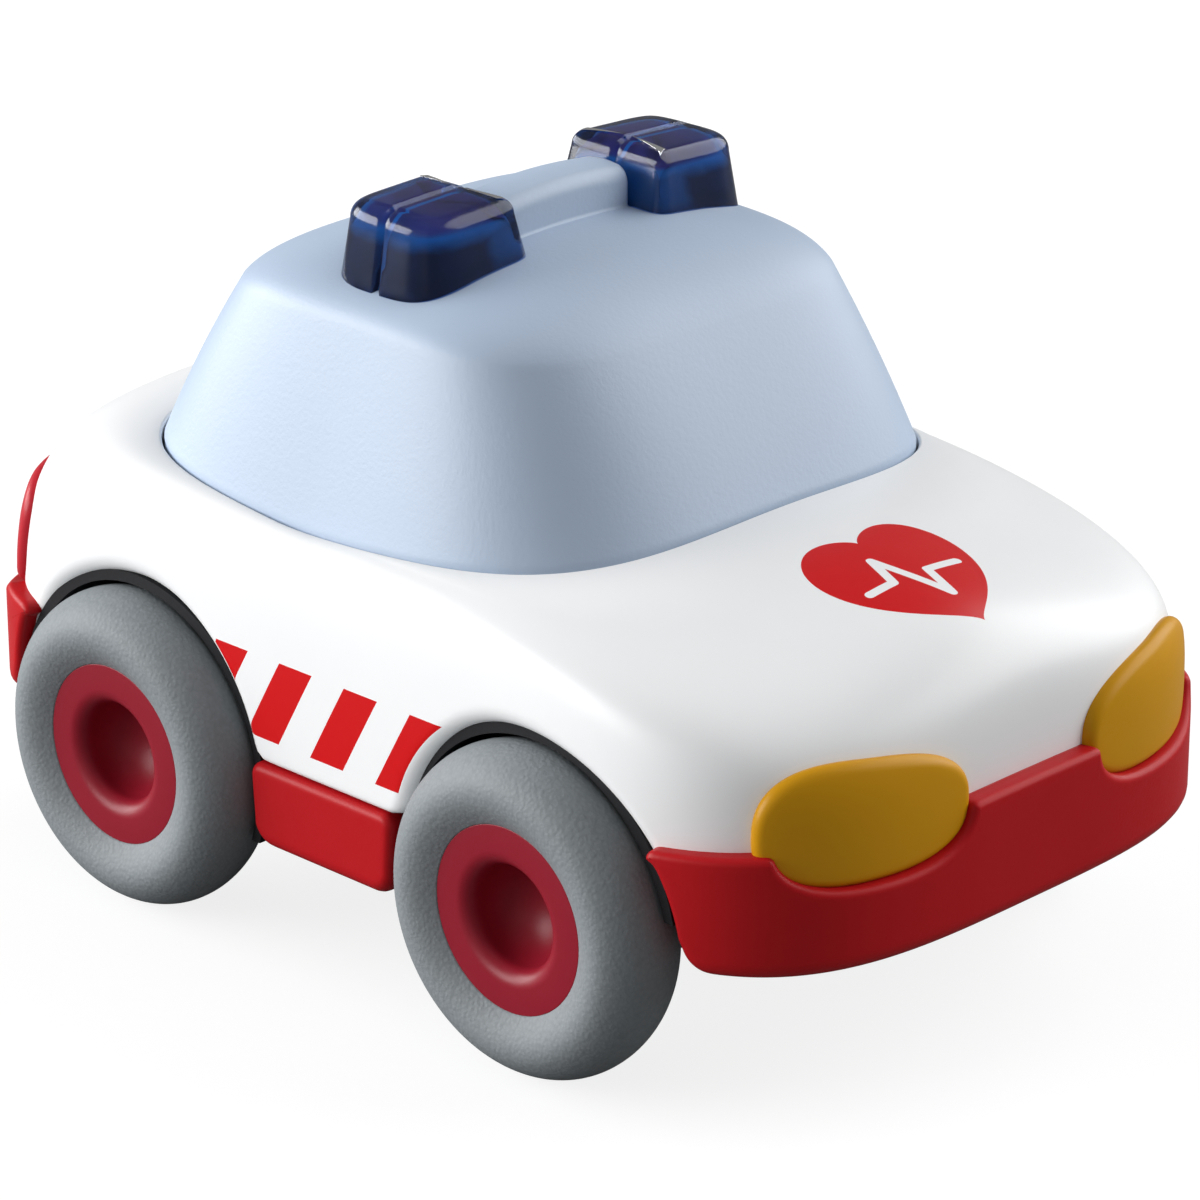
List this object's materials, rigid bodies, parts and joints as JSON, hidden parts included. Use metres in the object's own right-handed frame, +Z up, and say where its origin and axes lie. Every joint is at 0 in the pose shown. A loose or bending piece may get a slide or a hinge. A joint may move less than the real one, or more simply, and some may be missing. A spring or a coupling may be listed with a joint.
{
  "type": "toy ambulance",
  "caption": "Rounded push-along toy ambulance with a white body, pale blue cabin, blue roof lenses, red bumpers and a friction flywheel motor on the rear axle.",
  "frame": {"origin": "on the ground, under the middle of the car's length and width", "axes": "+X forward, +Y to the car's left, +Z up"},
  "size_m": [0.105, 0.071, 0.0678],
  "materials": {
    "shell_white": "moulded, satin gloss",
    "cabin_blue": "moulded, fine matte grain",
    "lens_navy": "clear tinted, polished",
    "lamp_ochre": "moulded, satin gloss",
    "lamp_red": "moulded, satin gloss",
    "trim_red": "moulded, satin gloss",
    "under_black": "moulded, matte",
    "case_grey": "moulded, matte",
    "hub_crimson": "moulded, satin gloss",
    "tyre_grey": "soft, fine leathery grain",
    "gear_ivory": "moulded, matte",
    "flywheel_iron": "turned",
    "steel": "drawn and plated"
  },
  "bodies": {
    "car_body": {"body_shell": "shell_white", "cabin": "cabin_blue", "roof_lens_right": "lens_navy", "roof_lens_left": "lens_navy", "headlight_right": "lamp_ochre", "headlight_left": "lamp_ochre", "taillight_right": "lamp_red", "taillight_left": "lamp_red", "front_bumper": "trim_red", "rear_bumper": "trim_red", "sill_right": "trim_red", "sill_left": "trim_red", "chassis": "under_black", "chassis_screws": "steel", "motor_case_right": "case_grey", "motor_case_left": "case_grey", "motor_screws": "steel"},
    "front_wheelset": {"front_axle": "steel", "front_hub_right": "hub_crimson", "front_hub_left": "hub_crimson", "front_tyre_right": "tyre_grey", "front_tyre_left": "tyre_grey"},
    "rear_wheelset": {"rear_axle": "steel", "rear_hub_right": "hub_crimson", "rear_hub_left": "hub_crimson", "rear_tyre_right": "tyre_grey", "rear_tyre_left": "tyre_grey", "drive_gear": "gear_ivory"},
    "cluster": {"cluster_gear": "gear_ivory", "cluster_shaft": "steel"},
    "flywheel_set": {"flywheel": "flywheel_iron", "flywheel_arbor": "steel"}
  },
  "joints": [
    {"name": "front_axle_spin", "type": "hinge", "parent": "car_body", "child": "front_wheelset", "pos_m": [0.02345, 0, 0.0148], "axis": [0, 1, 0], "continuous": true},
    {"name": "rear_axle_spin", "type": "hinge", "parent": "car_body", "child": "rear_wheelset", "pos_m": [-0.02655, 0, 0.0148], "axis": [0, 1, 0], "continuous": true},
    {"name": "cluster_spin", "type": "hinge", "parent": "car_body", "child": "cluster", "pos_m": [-0.0175, 0, 0.01961], "axis": [0, 1, 0], "continuous": true},
    {"name": "flywheel_spin", "type": "hinge", "parent": "car_body", "child": "flywheel_set", "pos_m": [-0.00792, 0, 0.02471], "axis": [0, 1, 0], "continuous": true}
  ],
  "couplings": [
    {"joint": "cluster_spin", "follows": "rear_axle_spin", "ratio": -2.4},
    {"joint": "flywheel_spin", "follows": "rear_axle_spin", "ratio": 6.24}
  ]
}
